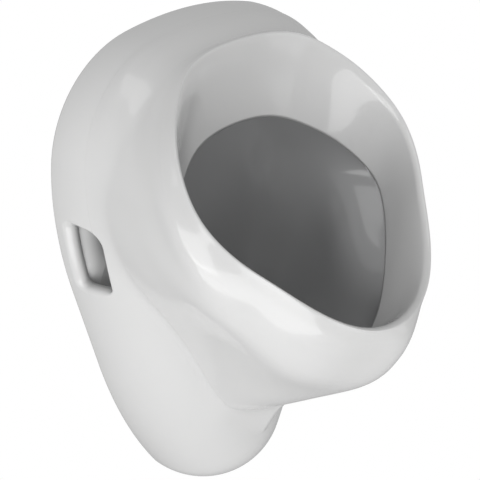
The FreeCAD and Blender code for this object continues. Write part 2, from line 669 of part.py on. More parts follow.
def main():
    os.makedirs("parts", exist_ok=True)
    for name, make in PARTS.items():
        shape = make()
        print(name, shape.isValid(), len(shape.Solids), round(shape.Volume), len(shape.Faces))
        shape.exportStep("parts/" + name + ".step")


main()
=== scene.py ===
# %% [markdown]
# # A wall hung urinal
#
# The object is a white glazed ceramic body with a tilted open mouth. Inside the mouth sits a
# bowl glazed dark grey; this grey is painted shade, standing for the shadow deep in the mouth.
# A spray nozzle, a lift-out strainer, a bottle trap and a waste pipe are hidden in it. The pieces
# and their sizes come from the CAD model, which is loaded first and never changed. Each
# following cell makes the finish or the finer shape of one piece.

import functools
import json
import math
import bmesh
import bpy
import numpy as np
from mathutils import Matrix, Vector


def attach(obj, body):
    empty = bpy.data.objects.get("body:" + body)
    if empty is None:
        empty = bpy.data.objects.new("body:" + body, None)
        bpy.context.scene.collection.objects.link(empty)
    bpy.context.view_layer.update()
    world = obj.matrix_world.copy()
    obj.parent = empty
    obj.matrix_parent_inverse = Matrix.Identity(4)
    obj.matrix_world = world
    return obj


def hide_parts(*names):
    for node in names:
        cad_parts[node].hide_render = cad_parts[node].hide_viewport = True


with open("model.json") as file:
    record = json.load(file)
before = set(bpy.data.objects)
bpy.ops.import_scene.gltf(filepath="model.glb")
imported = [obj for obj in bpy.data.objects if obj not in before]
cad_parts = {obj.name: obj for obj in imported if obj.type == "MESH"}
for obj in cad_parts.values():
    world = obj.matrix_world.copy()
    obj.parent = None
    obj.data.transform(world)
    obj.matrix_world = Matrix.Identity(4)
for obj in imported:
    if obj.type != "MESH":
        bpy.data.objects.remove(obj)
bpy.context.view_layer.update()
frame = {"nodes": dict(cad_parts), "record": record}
nodes = frame["nodes"]
MM = 0.001

# %% [markdown]
# ## The sizes of the ceramic
#
# The body was drawn from a few measures, and a learner can read them here in millimetres. The
# wall outline is a chain of tangent arcs. The bowl's skin is a stack of closed sections that fan
# out from one line across the top of the body. The same measures made the CAD solids, so what is
# modelled here fits what is inside it.

# %% Sizes of the ceramic, in millimetres
HALF_WIDTH = 170.0
TOP = 180.0
WIDEST = 35.0
TOP_R, SHOULDER_R, SIDE_R, FLANK_R = 370.0, 115.0, 270.0, 417.0
FLANK_LEAN = math.radians(11.2)
FLANK_END = -145.0
BULB_R, BULB_Z = 92.5, -275.5
TRUNK_DEPTH = 96.0
WALL = 11.0
RIM_TOP = (-64.0, 162.0)
RIM_TILT = math.radians(42.49)
RIM_HALF = 142.3
FAN_ABOVE = 52.0
COLLAR_DEPTH = 62.0
EDGE_HALF, EDGE_TOP, EDGE_END = 134.0, 53.7, 283.0
DRAIN_Z, DRAIN_R, DRAIN_HOLE_R, DRAIN_FLOOR = -196.0, 34.0, 24.0, 12.0
TRAP_Y = -44.0
BOWL_WALL = 7.0

# %% Half outlines of the closed sections
# Each pair is a share of the half width and a share of the length, from the top to the foot.
FOOT_SHAPE = [(0, 0), (.565, .019), (.825, .092), (.942, .175), (1, .305),
              (.935, .445), (.755, .600), (.560, .780), (.37, .938), (0, 1)]
LIP_SHAPE = [(0, 0), (.50, .040), (.735, .133), (.90, .248), (1, .425),
             (.918, .575), (.750, .690), (.570, .832), (.19, .955), (0, 1)]
RIM_SHAPE = [(0, 0), (.50, .040), (.735, .133), (.90, .248), (1, .425),
             (.93, .575), (.79, .690), (.595, .832), (.33, .955), (0, 1)]
FULL_SHAPE = [(0, 0), (.526, .034), (.764, .123), (.914, .231), (1, .395),
              (.935, .57), (.78, .695), (.588, .836), (.25, .95), (0, 1)]
EDGE_SHAPE = [(0, 0), (.40, .037), (.66, .135), (.86, .26), (1, .45),
              (.945, .575), (.80, .69), (.565, .828), (.28, .95), (0, 1)]
BASIN_SHAPE = [(0, 0), (.45, .030), (.74, .140), (.90, .27), (1, .50),
               (.94, .615), (.79, .722), (.562, .842), (.285, .955), (0, 1)]
ROUND_SHAPE = [(math.sin(math.radians(20 * i)), (1 - math.cos(math.radians(20 * i))) / 2)
               for i in range(10)]

# Skin of the bowl: lean of the section's plane in degrees, half width, distance of its top and
# of its foot from the line that the planes share, share of FULL_SHAPE or at the lip of LIP_SHAPE.
FAN = [(4.0, 157.5, 35.5, 446.0, 0.0), (8.8, 157.5, 36.0, 431.7, 0.0),
       (12.0, 157.6, 36.5, 422.0, 0.10), (17.0, 157.6, 38.0, 408.5, 0.30),
       (22.0, 157.5, 40.0, 397.0, 0.50), (27.0, 157.4, 43.0, 389.0, 0.73),
       (33.0, 157.0, 46.0, 378.5, 1.0), (38.0, 155.6, 48.8, 361.7, 1.0),
       (40.8, 147.8, 50.4, 348.3, 0.8), (42.0, 143.7, 51.4, 338.0, 0.4),
       (42.49, RIM_HALF, 52.0, 332.4, 0.0)]

# %% [markdown]
# ## Smooth closed rings
#
# A section is given by ten points of its right half. A periodic cubic spline through them and
# their mirror images gives a ring with no corner anywhere, which a glossy glaze needs: a
# reflection shows every break in curvature. Each ring has the same number of points, and they
# lie at the same stations, so that rings can be joined into a grid of quads.

# %% Splines through points
PER_SPAN = 16                      # points between two stations
HALF_SPANS = 9                     # spans from the top to the foot of a section
COLUMNS = 2 * HALF_SPANS * PER_SPAN


def spline_slopes(t, values, periodic):
    """Slopes at the points of a cubic spline with continuous curvature."""
    h = np.diff(t)
    rise = np.diff(values, axis=0) / h[:, None]
    n = len(t)
    matrix = np.zeros((n, n))
    right = np.zeros_like(values)
    for i in range(1, n - 1):
        matrix[i, i - 1:i + 2] = h[i], 2 * (h[i - 1] + h[i]), h[i - 1]
        right[i] = 3 * (h[i] * rise[i - 1] + h[i - 1] * rise[i])
    if periodic:
        matrix[0, [0, 1, n - 2]] = 2 * (h[-1] + h[0]), h[-1], h[0]
        right[0] = 3 * (h[0] * rise[-1] + h[-1] * rise[0])
        matrix[-1, [0, -1]] = 1, -1
    else:
        matrix[0, :2] = 2, 1
        right[0] = 3 * rise[0]
        matrix[-1, -2:] = 1, 2
        right[-1] = 3 * rise[-1]
    return np.linalg.solve(matrix, right)


def spline(t, values, at, periodic=False):
    """Cubic spline through values at t, read at other places."""
    values = np.asarray(values, float)
    flat = values.reshape(len(t), -1)
    slopes = spline_slopes(np.asarray(t, float), flat, periodic)
    at = np.asarray(at, float)
    i = np.clip(np.searchsorted(t, at, side="right") - 1, 0, len(t) - 2)
    h = (t[i + 1] - t[i])[:, None]
    s = ((at - t[i])[:, None]) / h
    a, b, ma, mb = flat[i], flat[i + 1], slopes[i] * h, slopes[i + 1] * h
    out = (a * (1 + 2 * s) * (1 - s) ** 2 + ma * s * (1 - s) ** 2
           + b * s * s * (3 - 2 * s) - mb * s * s * (1 - s))
    return out.reshape((len(at),) + values.shape[1:])


def ring_of(shape, per_span=PER_SPAN):
    """The closed ring of one shape: share of the half width, share of the length."""
    half = np.array(shape, float)
    left = half[-2:0:-1] * (-1, 1)
    full = np.vstack([half, left, half[:1]])
    steps = np.sqrt(np.linalg.norm(np.diff(full, axis=0), axis=1))
    t = np.concatenate([[0], np.cumsum(steps)])
    at = np.concatenate([np.linspace(a, b, per_span, endpoint=False)
                         for a, b in zip(t[:-1], t[1:])])
    return spline(t, full, at, periodic=True)


def mix_shapes(a, b, share):
    """A shape part of the way from one to another."""
    return np.array(a, float) * (1 - share) + np.array(b, float) * share


print("columns round each ring:", COLUMNS)

# %% Points on the planes of the rim and of the fan
HINGE = np.array([RIM_TOP[0] + FAN_ABOVE * math.sin(RIM_TILT),
                  RIM_TOP[1] + FAN_ABOVE * math.cos(RIM_TILT)])
DOWN_SLOPE = np.array([-math.sin(RIM_TILT), -math.cos(RIM_TILT)])
INTO_RIM = np.array([math.cos(RIM_TILT), -math.sin(RIM_TILT)])


def on_rim(x, along, depth):
    """Points on a plane parallel to the rim, at a depth behind its crest."""
    x, along = np.broadcast_arrays(x, along)
    yz = np.array(RIM_TOP) + along[:, None] * DOWN_SLOPE + depth * INTO_RIM
    return np.column_stack([x, yz])


def rim_ring(shape, depth, half, top, foot):
    """A section parallel to the rim, from its top to its foot."""
    ring = ring_of(shape)
    return on_rim(ring[:, 0] * half, top + (foot - top) * ring[:, 1], depth)


LIP_LEAN, RIM_LEAN = 35.0, 38.5    # leans above which LIP_SHAPE and RIM_SHAPE take over


def fan_shape(lean, share):
    """Shape of a section of the bowl's skin, between its plain and its full form."""
    base = RIM_SHAPE if lean > RIM_LEAN else FOOT_SHAPE
    return mix_shapes(base, LIP_SHAPE if lean > LIP_LEAN else FULL_SHAPE, share)


def fan_ring(row, skin=0.0):
    """One section of the bowl's skin in space, drawn in by the skin's thickness."""
    lean, half, top, foot, share = row
    ring = ring_of(fan_shape(lean, share))
    turn = math.radians(lean)
    reach = top + skin + (foot - top - 2 * skin) * ring[:, 1]
    return np.column_stack([ring[:, 0] * (half - skin), HINGE[0] - reach * math.sin(turn),
                            HINGE[1] - reach * math.cos(turn)])


crest = fan_ring(FAN[-1])
print("crest from", crest.min(0).round(1), "to", crest.max(0).round(1))

# %% [markdown]
# ## The trunk and the bowl as distances from one point
#
# Seen from a point deep inside the body, the trunk and the skin of the bowl are each a single
# distance in every direction. The outer skin is then simply the larger of the two distances. A
# smooth larger-of-two rounds the groove where they meet, as the glaze does. This avoids a
# boolean cut, which would leave long thin faces that show in a glossy finish.

# %% Distance to the trunk's wall outline
CENTRE = np.array([0.0, -60.0, -40.0])
FAR = 520.0                        # farther from CENTRE than any point of the body
HALVINGS = 34                      # steps that narrow a distance down


def outline_arcs():
    """Centre, radius, start and end angle of the right half's tangent arcs, from the top."""
    crown = np.array([0, TOP - TOP_R])
    side = np.array([HALF_WIDTH - SIDE_R, WIDEST])
    gap = np.linalg.norm(side - crown)
    reach_a, reach_b = TOP_R - SHOULDER_R, SIDE_R - SHOULDER_R
    along = (reach_a ** 2 - reach_b ** 2 + gap ** 2) / (2 * gap)
    aside = math.sqrt(reach_a ** 2 - along ** 2)
    line = (side - crown) / gap
    choices = [crown + line * along + sign * aside * np.array([line[1], -line[0]])
               for sign in (1, -1)]
    shoulder = max(choices, key=lambda c: c[0])
    top_angle = math.atan2(*(shoulder - crown)[::-1])
    side_angle = math.atan2(*(shoulder - side)[::-1])
    flank = np.array([HALF_WIDTH - FLANK_R, WIDEST])
    outward = np.array([math.cos(FLANK_LEAN), -math.sin(FLANK_LEAN)])
    start = flank + outward * FLANK_R
    fall = start[1] - FLANK_END
    end = start + np.array([-math.tan(FLANK_LEAN) * fall, -fall])
    bulb = np.array([0, BULB_Z])
    reach = end - bulb
    waist_r = (reach @ reach - BULB_R ** 2) / (2 * (reach @ outward - BULB_R))
    waist = end - outward * waist_r
    foot = math.atan2(*(bulb - waist)[::-1])
    return [(crown, TOP_R, math.pi / 2, top_angle), (shoulder, SHOULDER_R, top_angle, side_angle),
            (side, SIDE_R, side_angle, 0.0), (flank, FLANK_R, 0.0, -FLANK_LEAN),
            (waist, waist_r, -FLANK_LEAN, foot), (bulb, BULB_R, foot, -math.pi / 2)]


ARCS = outline_arcs()


def half_outline(inset, steps=240):
    """Dense points of the right half of the wall outline, drawn in by an inset."""
    points = []
    for centre, radius, start, end in ARCS:
        angles = np.linspace(start, end, steps)
        r = radius - inset
        points.append(centre + r * np.column_stack([np.cos(angles), np.sin(angles)]))
    return np.vstack(points)


def outline_distance(x, z):
    """Signed distance from the wall outline, negative inside."""
    x = np.abs(x)
    best = np.full(x.shape, np.inf)
    signed = np.zeros(x.shape)
    for centre, radius, start, end in ARCS:
        dx, dz = x - centre[0], z - centre[1]
        low, high = min(start, end), max(start, end)
        side = 1.0 if radius > 0 else -1.0
        angle = np.arctan2(side * dz, side * dx)
        angle = np.clip(angle, low, high)
        px = centre[0] + radius * np.cos(angle)
        pz = centre[1] + radius * np.sin(angle)
        far = np.hypot(x - px, z - pz)
        sign = np.sign((x - px) * np.cos(angle) + (z - pz) * np.sin(angle))
        closer = far < best
        best = np.where(closer, far, best)
        signed = np.where(closer, far * np.where(sign == 0, 1, sign), signed)
    lean = np.array([math.cos(-FLANK_LEAN), math.sin(-FLANK_LEAN)])
    flank_top = ARCS[3][0] + ARCS[3][1] * lean
    run = ARCS[4][0] + ARCS[4][1] * lean - flank_top
    t = np.clip(((x - flank_top[0]) * run[0] + (z - flank_top[1]) * run[1]) / (run @ run), 0, 1)
    px, pz = flank_top[0] + run[0] * t, flank_top[1] + run[1] * t
    far = np.hypot(x - px, z - pz)
    sign = np.sign((x - px) * math.cos(FLANK_LEAN) - (z - pz) * math.sin(FLANK_LEAN))
    closer = far < best
    return np.where(closer, far * np.where(sign == 0, 1, sign), signed)


def trunk_reach(rays, skin=0.0):
    """Distance from CENTRE to the trunk along each ray."""
    depth, radius = TRUNK_DEPTH - skin, BULB_R - skin
    low = np.zeros(len(rays))
    high = np.full(len(rays), FAR)
    for _ in range(HALVINGS):
        middle = (low + high) / 2
        p = CENTRE + rays * middle[:, None]
        s = -p[:, 1] / depth
        inset = radius * (1 - np.sqrt(np.clip(1 - np.clip(s, 0, 1) ** 2, 0, 1)))
        inset = inset + np.maximum(s - 1, 0) * depth
        outside = outline_distance(p[:, 0], p[:, 2]) + inset + skin > 0
        high = np.where(outside, middle, high)
        low = np.where(outside, low, middle)
    return (low + high) / 2


side_ray = np.array([[1.0, 0.35, 0.0]]) / np.linalg.norm([1.0, 0.35, 0.0])
print("trunk reach to the side:", trunk_reach(side_ray).round(2))

# %% Distance to the bowl's skin
FAN_TABLE_ROWS = 260
FAN_TABLE_STEPS = 400
FINE_SPAN = 24                     # points between two stations when the table is filled
LEAN_PACE = 5.0                    # millimetres of spline length for one degree of lean
SEARCH_STEP, SEARCH_END = 4.0, 440.0
SEARCH_HALVINGS = 22
LAST_CELL = 1.001                  # keeps a place just inside the last cell of a table
LEAN_SLACK = 0.02                  # degrees by which a ray may miss the last section


@functools.lru_cache
def fan_table(skin):
    """Half width of the skin on a grid of lean angles and positions down each section."""
    rows = np.array(FAN)
    leans = rows[:, 0]
    grid = np.linspace(leans[0], leans[-1], FAN_TABLE_ROWS)
    paces = np.hypot(np.diff(leans) * LEAN_PACE, np.diff(rows[:, 1])) + 1e-6
    knots = np.concatenate([[0], np.cumsum(paces)])
    place = np.interp(grid, leans, knots)
    half, top, foot = (spline(knots, rows[:, k:k + 1], place)[:, 0] for k in (1, 2, 3))
    shapes = spline(knots, [fan_shape(row[0], row[4]) for row in FAN], place)
    w = np.linspace(0, 1, FAN_TABLE_STEPS)
    t = (1 - np.cos(math.pi * w)) / 2
    table = np.zeros((FAN_TABLE_ROWS, FAN_TABLE_STEPS))
    for k, shape in enumerate(shapes):
        ring = ring_of(shape, FINE_SPAN)[:HALF_SPANS * FINE_SPAN + 1]
        down = np.maximum.accumulate(ring[:, 1])
        table[k] = np.interp(t, down, ring[:, 0]) * (half[k] - skin)
    return grid, top + skin, foot - skin, table


def bowl_reach(rays, skin=0.0):
    """Distance from CENTRE to the bowl's skin along each ray, or 0 where a ray misses it."""
    grid, tops, foots, table = fan_table(skin)
    span = grid[1] - grid[0]

    def inside(distance):
        """Whether the point at this distance along each ray lies in the bowl."""
        p = CENTRE + rays * distance[:, None]
        back, down = p[:, 1] - HINGE[0], p[:, 2] - HINGE[1]
        lean = np.degrees(np.arctan2(-back, -down))
        reach = np.hypot(back, down)
        at = np.clip((lean - grid[0]) / span, 0, len(grid) - LAST_CELL)
        k = at.astype(int)
        f = at - k
        top = tops[k] * (1 - f) + tops[k + 1] * f
        foot = foots[k] * (1 - f) + foots[k + 1] * f
        t = (reach - top) / (foot - top)
        w = np.arccos(np.clip(1 - 2 * t, -1, 1)) / math.pi * (FAN_TABLE_STEPS - 1)
        c = np.clip(w, 0, FAN_TABLE_STEPS - LAST_CELL).astype(int)
        g = w - c
        value = ((table[k, c] * (1 - g) + table[k, c + 1] * g) * (1 - f)
                 + (table[k + 1, c] * (1 - g) + table[k + 1, c + 1] * g) * f)
        good = (t > 0) & (t < 1) & (lean >= grid[0]) & (lean <= grid[-1] + LEAN_SLACK)
        return good & (np.abs(p[:, 0]) < value)

    last = np.zeros(len(rays))
    for step in np.arange(SEARCH_STEP, SEARCH_END, SEARCH_STEP):
        hit = inside(np.full(len(rays), step))
        last = np.where(hit, step, last)
    low, high = last.copy(), last + SEARCH_STEP
    for _ in range(SEARCH_HALVINGS):
        middle = (low + high) / 2
        hit = inside(middle)
        low = np.where(hit, middle, low)
        high = np.where(hit, high, middle)
    return np.where(last > 0, (low + high) / 2, 0.0)


crest_rays = crest - CENTRE
crest_far = np.linalg.norm(crest_rays, axis=1)
found = bowl_reach(crest_rays / crest_far[:, None])
print("bowl skin at the crest is off by at most", np.abs(found - crest_far).max().round(3), "mm")

# %% [markdown]
# ## The outer skin
#
# A grid of directions runs from the wall edge to the crest of the rim. Along each column the
# rows are moved closer together where the surface turns, so that the groove, the lip and the
# foot get fine faces and the calm flanks get few. The right half is worked out and mirrored.
# Last, the hollow corner under the bowl is rounded further, in many small steps.

# %% Helpers for grids of points
SKIN_ROWS = 132
DENSE_ROWS = 420
HALF_COLUMNS = COLUMNS // 2 + 1
WALL_ROUND = 1.5                  # small round of the edge that touches the wall
TURN_WEIGHT = 26.0                # millimetres that one radian of turn counts for


def lengths(points):
    """Running length along the last but one axis."""
    step = np.linalg.norm(np.diff(points, axis=-2), axis=-1)
    zero = np.zeros(step.shape[:-1] + (1,))
    return np.concatenate([zero, np.cumsum(step, axis=-1)], axis=-1)


def smooth_step(value):
    """From 0 to 1 with no corner at either end."""
    value = np.clip(value, 0, 1)
    return value * value * (3 - 2 * value)


def larger_of(a, b, width):
    """The larger of two distances, rounded over a width where they are close."""
    near = np.clip(width - np.abs(a - b), 0, None) / np.maximum(width, 1e-6)
    return np.maximum(a, b) + near * near * width / 4


def turned(start, end, share):
    """Directions part of the way from start to end, along the great circle."""
    angle = np.arccos(np.clip((start * end).sum(-1), -1, 1))[..., None]
    share = share[..., None]
    return ((np.sin((1 - share) * angle) * start + np.sin(share * angle) * end)
            / np.sin(angle))


def unit(vectors):
    """Vectors shortened to a length of one."""
    return vectors / np.linalg.norm(vectors, axis=-1, keepdims=True)


def along_outline(inset, share):
    """Points of the wall outline at shares of its half length."""
    points = half_outline(inset)
    run = lengths(points)
    run = run / run[-1]
    return np.column_stack([np.interp(share, run, points[:, k]) for k in (0, 1)])


def mirror_columns(half):
    """The full rings from their right halves."""
    left = half[:, -2:0:-1] * (-1, 1, 1)
    return np.concatenate([half, left], axis=1)


# %% Wall edge and crest directions
half_crest = crest[:HALF_COLUMNS]
crest_share = lengths(half_crest)
crest_share = crest_share / crest_share[-1]
wall_xz = along_outline(0.0, crest_share)
wall_edge = np.column_stack([wall_xz[:, 0], np.full(HALF_COLUMNS, -WALL_ROUND), wall_xz[:, 1]])
# Width over which the groove between bowl and trunk is rounded, at heights from the foot up.
GROOVE_HEIGHTS = [-300.0, -215.0, -150.0, -60.0, 20.0, 120.0]
GROOVE_WIDTHS = [34.0, 30.0, 7.0, 4.0, 8.0, 12.0]
CREST_FADE = 30.0                  # nearer to the crest than this the rounding fades out
CLEAR_OF_CREST = 99.0              # a crest distance at which nothing fades
LEAST_WIDTH = 0.01


def skin_reach(rays, crest_gap):
    """Distance to the outer skin. crest_gap is how far each ray is from the crest."""
    flat = rays.reshape(-1, 3)
    trunk = trunk_reach(flat).reshape(rays.shape[:-1])
    bowl = bowl_reach(flat).reshape(rays.shape[:-1])
    height = CENTRE[2] + rays[..., 2] * trunk
    width = np.interp(height, GROOVE_HEIGHTS, GROOVE_WIDTHS)
    width = width * smooth_step(crest_gap / CREST_FADE) + LEAST_WIDTH
    return larger_of(trunk, bowl, width)


def skin_points(share):
    """Points of the skin; share has one row of values down each column."""
    start = unit(wall_edge - CENTRE)[:, None]
    end = unit(half_crest - CENTRE)[:, None]
    rays = turned(start, end, share)
    angle = np.arccos(np.clip((start * end).sum(-1), -1, 1))
    gap = (1 - share) * angle * np.linalg.norm(half_crest - CENTRE, axis=1)[:, None]
    reach = skin_reach(rays, gap)
    return CENTRE + rays * reach[..., None]


dense_share = np.broadcast_to(np.linspace(0, 1, DENSE_ROWS), (HALF_COLUMNS, DENSE_ROWS))
dense = skin_points(dense_share)
print("dense skin:", dense.shape)

# %% Rows drawn together where the skin turns
step = np.diff(dense, axis=1)
size = np.linalg.norm(step, axis=2)
heading = step / size[..., None]
turn = np.arccos(np.clip((heading[:, 1:] * heading[:, :-1]).sum(-1), -1, 1))
turn = np.pad(turn, ((0, 0), (1, 0)))
weight = size + TURN_WEIGHT * turn
KERNEL_HALF = 6
kernel = np.hanning(2 * KERNEL_HALF + 1)
kernel /= kernel.sum()
weight = np.array([np.convolve(np.pad(w, KERNEL_HALF, mode="edge"), kernel, "valid")
                   for w in weight])
padded = np.concatenate([weight[KERNEL_HALF:0:-1], weight, weight[-2:-2 - KERNEL_HALF:-1]])
weight = np.array([np.convolve(column, kernel, "valid") for column in padded.T]).T
run = np.concatenate([np.zeros((HALF_COLUMNS, 1)), np.cumsum(weight, axis=1)], axis=1)
goal = np.linspace(0, 1, SKIN_ROWS)
row_share = np.array([np.interp(goal, r / r[-1], dense_share[0]) for r in run])
skin_half = skin_points(row_share)
skin_rows = mirror_columns(np.swapaxes(skin_half, 0, 1))

# %% Soft inner corner between the bowl and the foot
BLEND_HEIGHT, BLEND_FADE = -200.0, 30.0  # starts at this height, full 30 mm lower
BLEND_PASSES, BLEND_STEP = 600, 0.22
BLEND_PULL = (0.02, 0.15)          # hollows under the first stay, over the second they move fully


def softened(rows):
    """Rounds the hollow under the bowl and leaves every outward curve alone."""
    least, most = BLEND_PULL
    for _ in range(BLEND_PASSES):
        pull = (np.roll(rows, 1, 1) + np.roll(rows, -1, 1)) / 2 - rows
        pull[1:-1] += (rows[2:] + rows[:-2]) / 2 - rows[1:-1]
        pull[[0, -1]] = 0
        normal = unit(np.cross(np.roll(rows, -1, 1) - np.roll(rows, 1, 1),
                               np.gradient(rows, axis=0)))
        normal *= np.sign((normal * (rows - CENTRE)).sum())
        hollow = smooth_step(((pull * normal).sum(-1) - least) / (most - least))
        low = smooth_step((BLEND_HEIGHT - rows[..., 2]) / BLEND_FADE)
        rows = rows + BLEND_STEP * pull * (hollow * low)[..., None]
    return rows


sharp_rows = skin_rows
skin_rows = softened(sharp_rows)
print("the blend moved the skin by at most", np.abs(skin_rows - sharp_rows).max().round(1), "mm")
print("skin rows:", skin_rows.shape, "lowest", skin_rows[..., 2].min().round(2),
      "front", skin_rows[..., 1].min().round(2))

# %% [markdown]
# ## The collar and the hollow back
#
# Over the crest the skin rolls into the mouth and down to a sharp edge, where the bowl begins;
# the bowl is glazed grey as painted shade for the shadow inside the mouth. The rows there are
# splines through the crest and five more rings. Behind the skin the casting is hollow, open to the
# wall, so the inner face follows the same two distances drawn in by the wall's thickness. All rows
# together close into one ring of quads.

# %% Collar rows
# Depth behind the crest, half width, top and foot down the slope, share of EDGE_SHAPE.
COLLAR = [(2.5, 138.8, 4.0, 277.0, 0.0), (8.0, 137.2, 9.0, 276.0, 0.10),
          (25.0, 136.2, 22.0, 278.5, 0.4), (45.0, 135.2, 38.5, 281.0, 0.75),
          (COLLAR_DEPTH, EDGE_HALF, EDGE_TOP, EDGE_END, 1.0)]
COLLAR_ROWS = 46
LEAD_GAPS = (9.0, 4.5)            # skin points before the crest that steer the roll-over
CREST_EASE = 1.7                  # above 1, rows gather near the crest

rings = [rim_ring(mix_shapes(RIM_SHAPE, EDGE_SHAPE, row[4]), *row[:4]) for row in COLLAR]
gap_run = lengths(np.swapaxes(skin_rows, 0, 1))
leads = []
for gap in LEAD_GAPS:
    lead = [[np.interp(g[-1] - gap, g, skin_rows[:, j, k]) for k in range(3)]
            for j, g in enumerate(gap_run)]
    leads.append(np.array(lead))
stack = np.array(leads + [skin_rows[-1]] + rings)
knots = np.concatenate([[0], np.cumsum(np.linalg.norm(np.diff(stack, axis=0), axis=2).mean(1))])
crest_knot = knots[len(LEAD_GAPS)]
collar_length = knots[-1] - crest_knot
ease = np.linspace(0, 1, COLLAR_ROWS) ** CREST_EASE
collar_rows = spline(knots, stack, crest_knot + collar_length * ease)
print("collar:", collar_rows.shape, "length", round(float(collar_length), 1), "mm")

# %% Inner face of the casting
HOLLOW_ROWS = 40
LEDGE_OUT = 9.3                   # width of the ledge behind the sharp edge
LEDGE_RISE = 0.9                  # how far its top goes up the slope for one millimetre out
edge_rings = [(COLLAR_DEPTH - 0.2, 0.35), (COLLAR_DEPTH, 1.0), (COLLAR_DEPTH, LEDGE_OUT)]
BEHIND_COLLAR = (38.0, EDGE_HALF + 10.0, 9.0, EDGE_END + 6.0)  # depth, half width, top, foot
SKIN_LEFT = 4.0                   # ceramic that is always left outside the inner face


def keep_inside(points):
    """Draws points in, towards CENTRE, until enough ceramic is left outside them."""
    away = points - CENTRE
    far = np.linalg.norm(away, axis=1)
    reach = skin_reach(away / far[:, None], np.full(len(far), CLEAR_OF_CREST))
    return CENTRE + away * np.minimum(1, (reach - SKIN_LEFT) / far)[:, None]


ledge = [keep_inside(rim_ring(mix_shapes(EDGE_SHAPE, BASIN_SHAPE, out / LEDGE_OUT), depth,
                              EDGE_HALF + out, EDGE_TOP - LEDGE_RISE * out, EDGE_END + out))
         for depth, out in edge_rings]
behind_collar = keep_inside(rim_ring(mix_shapes(RIM_SHAPE, BASIN_SHAPE, 0.5), *BEHIND_COLLAR))
inner_end = fan_ring(FAN[6], WALL)[:HALF_COLUMNS]
inner_xz = along_outline(WALL, crest_share)
inner_edge = np.column_stack([inner_xz[:, 0], np.full(HALF_COLUMNS, -WALL_ROUND), inner_xz[:, 1]])
hollow_share = np.broadcast_to(np.linspace(1, 0, HOLLOW_ROWS), (HALF_COLUMNS, HOLLOW_ROWS))
rays = turned(unit(inner_edge - CENTRE)[:, None], unit(inner_end - CENTRE)[:, None], hollow_share)
flat = rays.reshape(-1, 3)
UNDER = 0.999                     # keeps the bowl's hollow a hair under the trunk's
hollow_reach = np.maximum(trunk_reach(flat, WALL), bowl_reach(flat, WALL) * UNDER)
hollow_half = CENTRE + rays * hollow_reach.reshape(rays.shape[:-1])[..., None]
hollow_rows = mirror_columns(np.swapaxes(hollow_half, 0, 1))


def wall_ring(inset, y):
    """A ring that follows the wall outline, drawn in, at one distance from the wall."""
    xz = along_outline(inset, crest_share)
    half = np.column_stack([xz[:, 0], np.full(HALF_COLUMNS, y), xz[:, 1]])
    return mirror_columns(half[None])[0]


wall_rings = [wall_ring(WALL, 0.0), wall_ring(WALL * 0.5, 0.0), wall_ring(WALL_ROUND, 0.0),
              wall_ring(WALL_ROUND * 0.3, -WALL_ROUND * 0.3)]
body_rows = np.concatenate([skin_rows, collar_rows[1:], np.array(ledge),
                            behind_collar[None], hollow_rows, np.array(wall_rings)])
print("body rows:", body_rows.shape, "triangles", 2 * body_rows.shape[0] * body_rows.shape[1])

# %% A closed mesh from closed rows
def added(name, data):
    """A new object in the scene."""
    piece = bpy.data.objects.new(name, data)
    bpy.context.scene.collection.objects.link(piece)
    return piece


def mesh_from_rows(name, rows, closed=True):
    """Quads between neighbouring rings. A closed one joins its last ring to its first."""
    count, around = rows.shape[:2]
    i = np.arange(count if closed else count - 1)[:, None]
    j = np.arange(around)[None]
    right, below = (j + 1) % around, (i + 1) % count
    quads = np.stack([i * around + j, below * around + j, below * around + right,
                      i * around + right], axis=-1).reshape(-1, 4)
    points = rows.reshape(-1, 3)
    a, b, c, d = (points[quads[:, k]] for k in range(4))
    volume = (np.cross(a, b) * c).sum() + (np.cross(a, c) * d).sum()
    if volume < 0:
        quads = quads[:, ::-1]
    mesh = bpy.data.meshes.new(name)
    mesh.from_pydata((points * MM).tolist(), [], quads.tolist())
    mesh.polygons.foreach_set("use_smooth", [True] * len(quads))
    mesh.update()
    return added(name, mesh)


ceramic = mesh_from_rows("ceramic_shell", body_rows)
print("ceramic shell:", len(ceramic.data.vertices), "points")

# %% [markdown]
# ## The side slots
#
# A rounded slot in each side lets a hand and a spanner reach the wall stud. The cutter is a stack
# of rings of the slot's outline. Near the surface the rings flare out along an arc, so the
# Boolean modifier cuts a hole whose lip is already rounded, as glaze leaves it.

# %% Outline of the slot
SLOT_BACK, SLOT_FRONT, SLOT_LOW, SLOT_HIGH = -16.0, -47.0, -36.0, 29.0
SLOT_SMALL_R, SLOT_BIG_R = 5.0, 17.0
SLOT_LIP, SLOT_SOFT_LIP = 2.2, 6.5  # radius of the flared lip, in front and at the back
SLOT_INNER_X = 112.0
BEYOND_SKIN_X = 185.0
ARC_STEPS, SLOT_POINTS = 12, 96
SKIN_STEPS = 8                      # steps that move a point out to the skin


def slot_outline():
    """Points of the slot in Y and Z, evenly spaced."""
    corners = [(SLOT_FRONT, SLOT_HIGH, SLOT_BIG_R, 1, -1, 90, 180),
               (SLOT_FRONT, SLOT_LOW, SLOT_SMALL_R, 1, 1, 180, 270),
               (SLOT_BACK, SLOT_LOW, SLOT_SMALL_R, -1, 1, 270, 360),
               (SLOT_BACK, SLOT_HIGH, SLOT_SMALL_R, -1, -1, 0, 90)]
    points = []
    for y, z, radius, dy, dz, start, end in corners:
        cy, cz = y + dy * radius, z + dz * radius
        for angle in np.radians(np.linspace(start, end, ARC_STEPS)):
            points.append((cy + radius * math.cos(angle), cz + radius * math.sin(angle)))
    points = np.array(points)
    closed = np.vstack([points, points[:1]])
    run = lengths(closed)
    even = np.linspace(0, run[-1], SLOT_POINTS + 1)[:-1]
    return np.column_stack([np.interp(even, run, closed[:, k]) for k in (0, 1)])


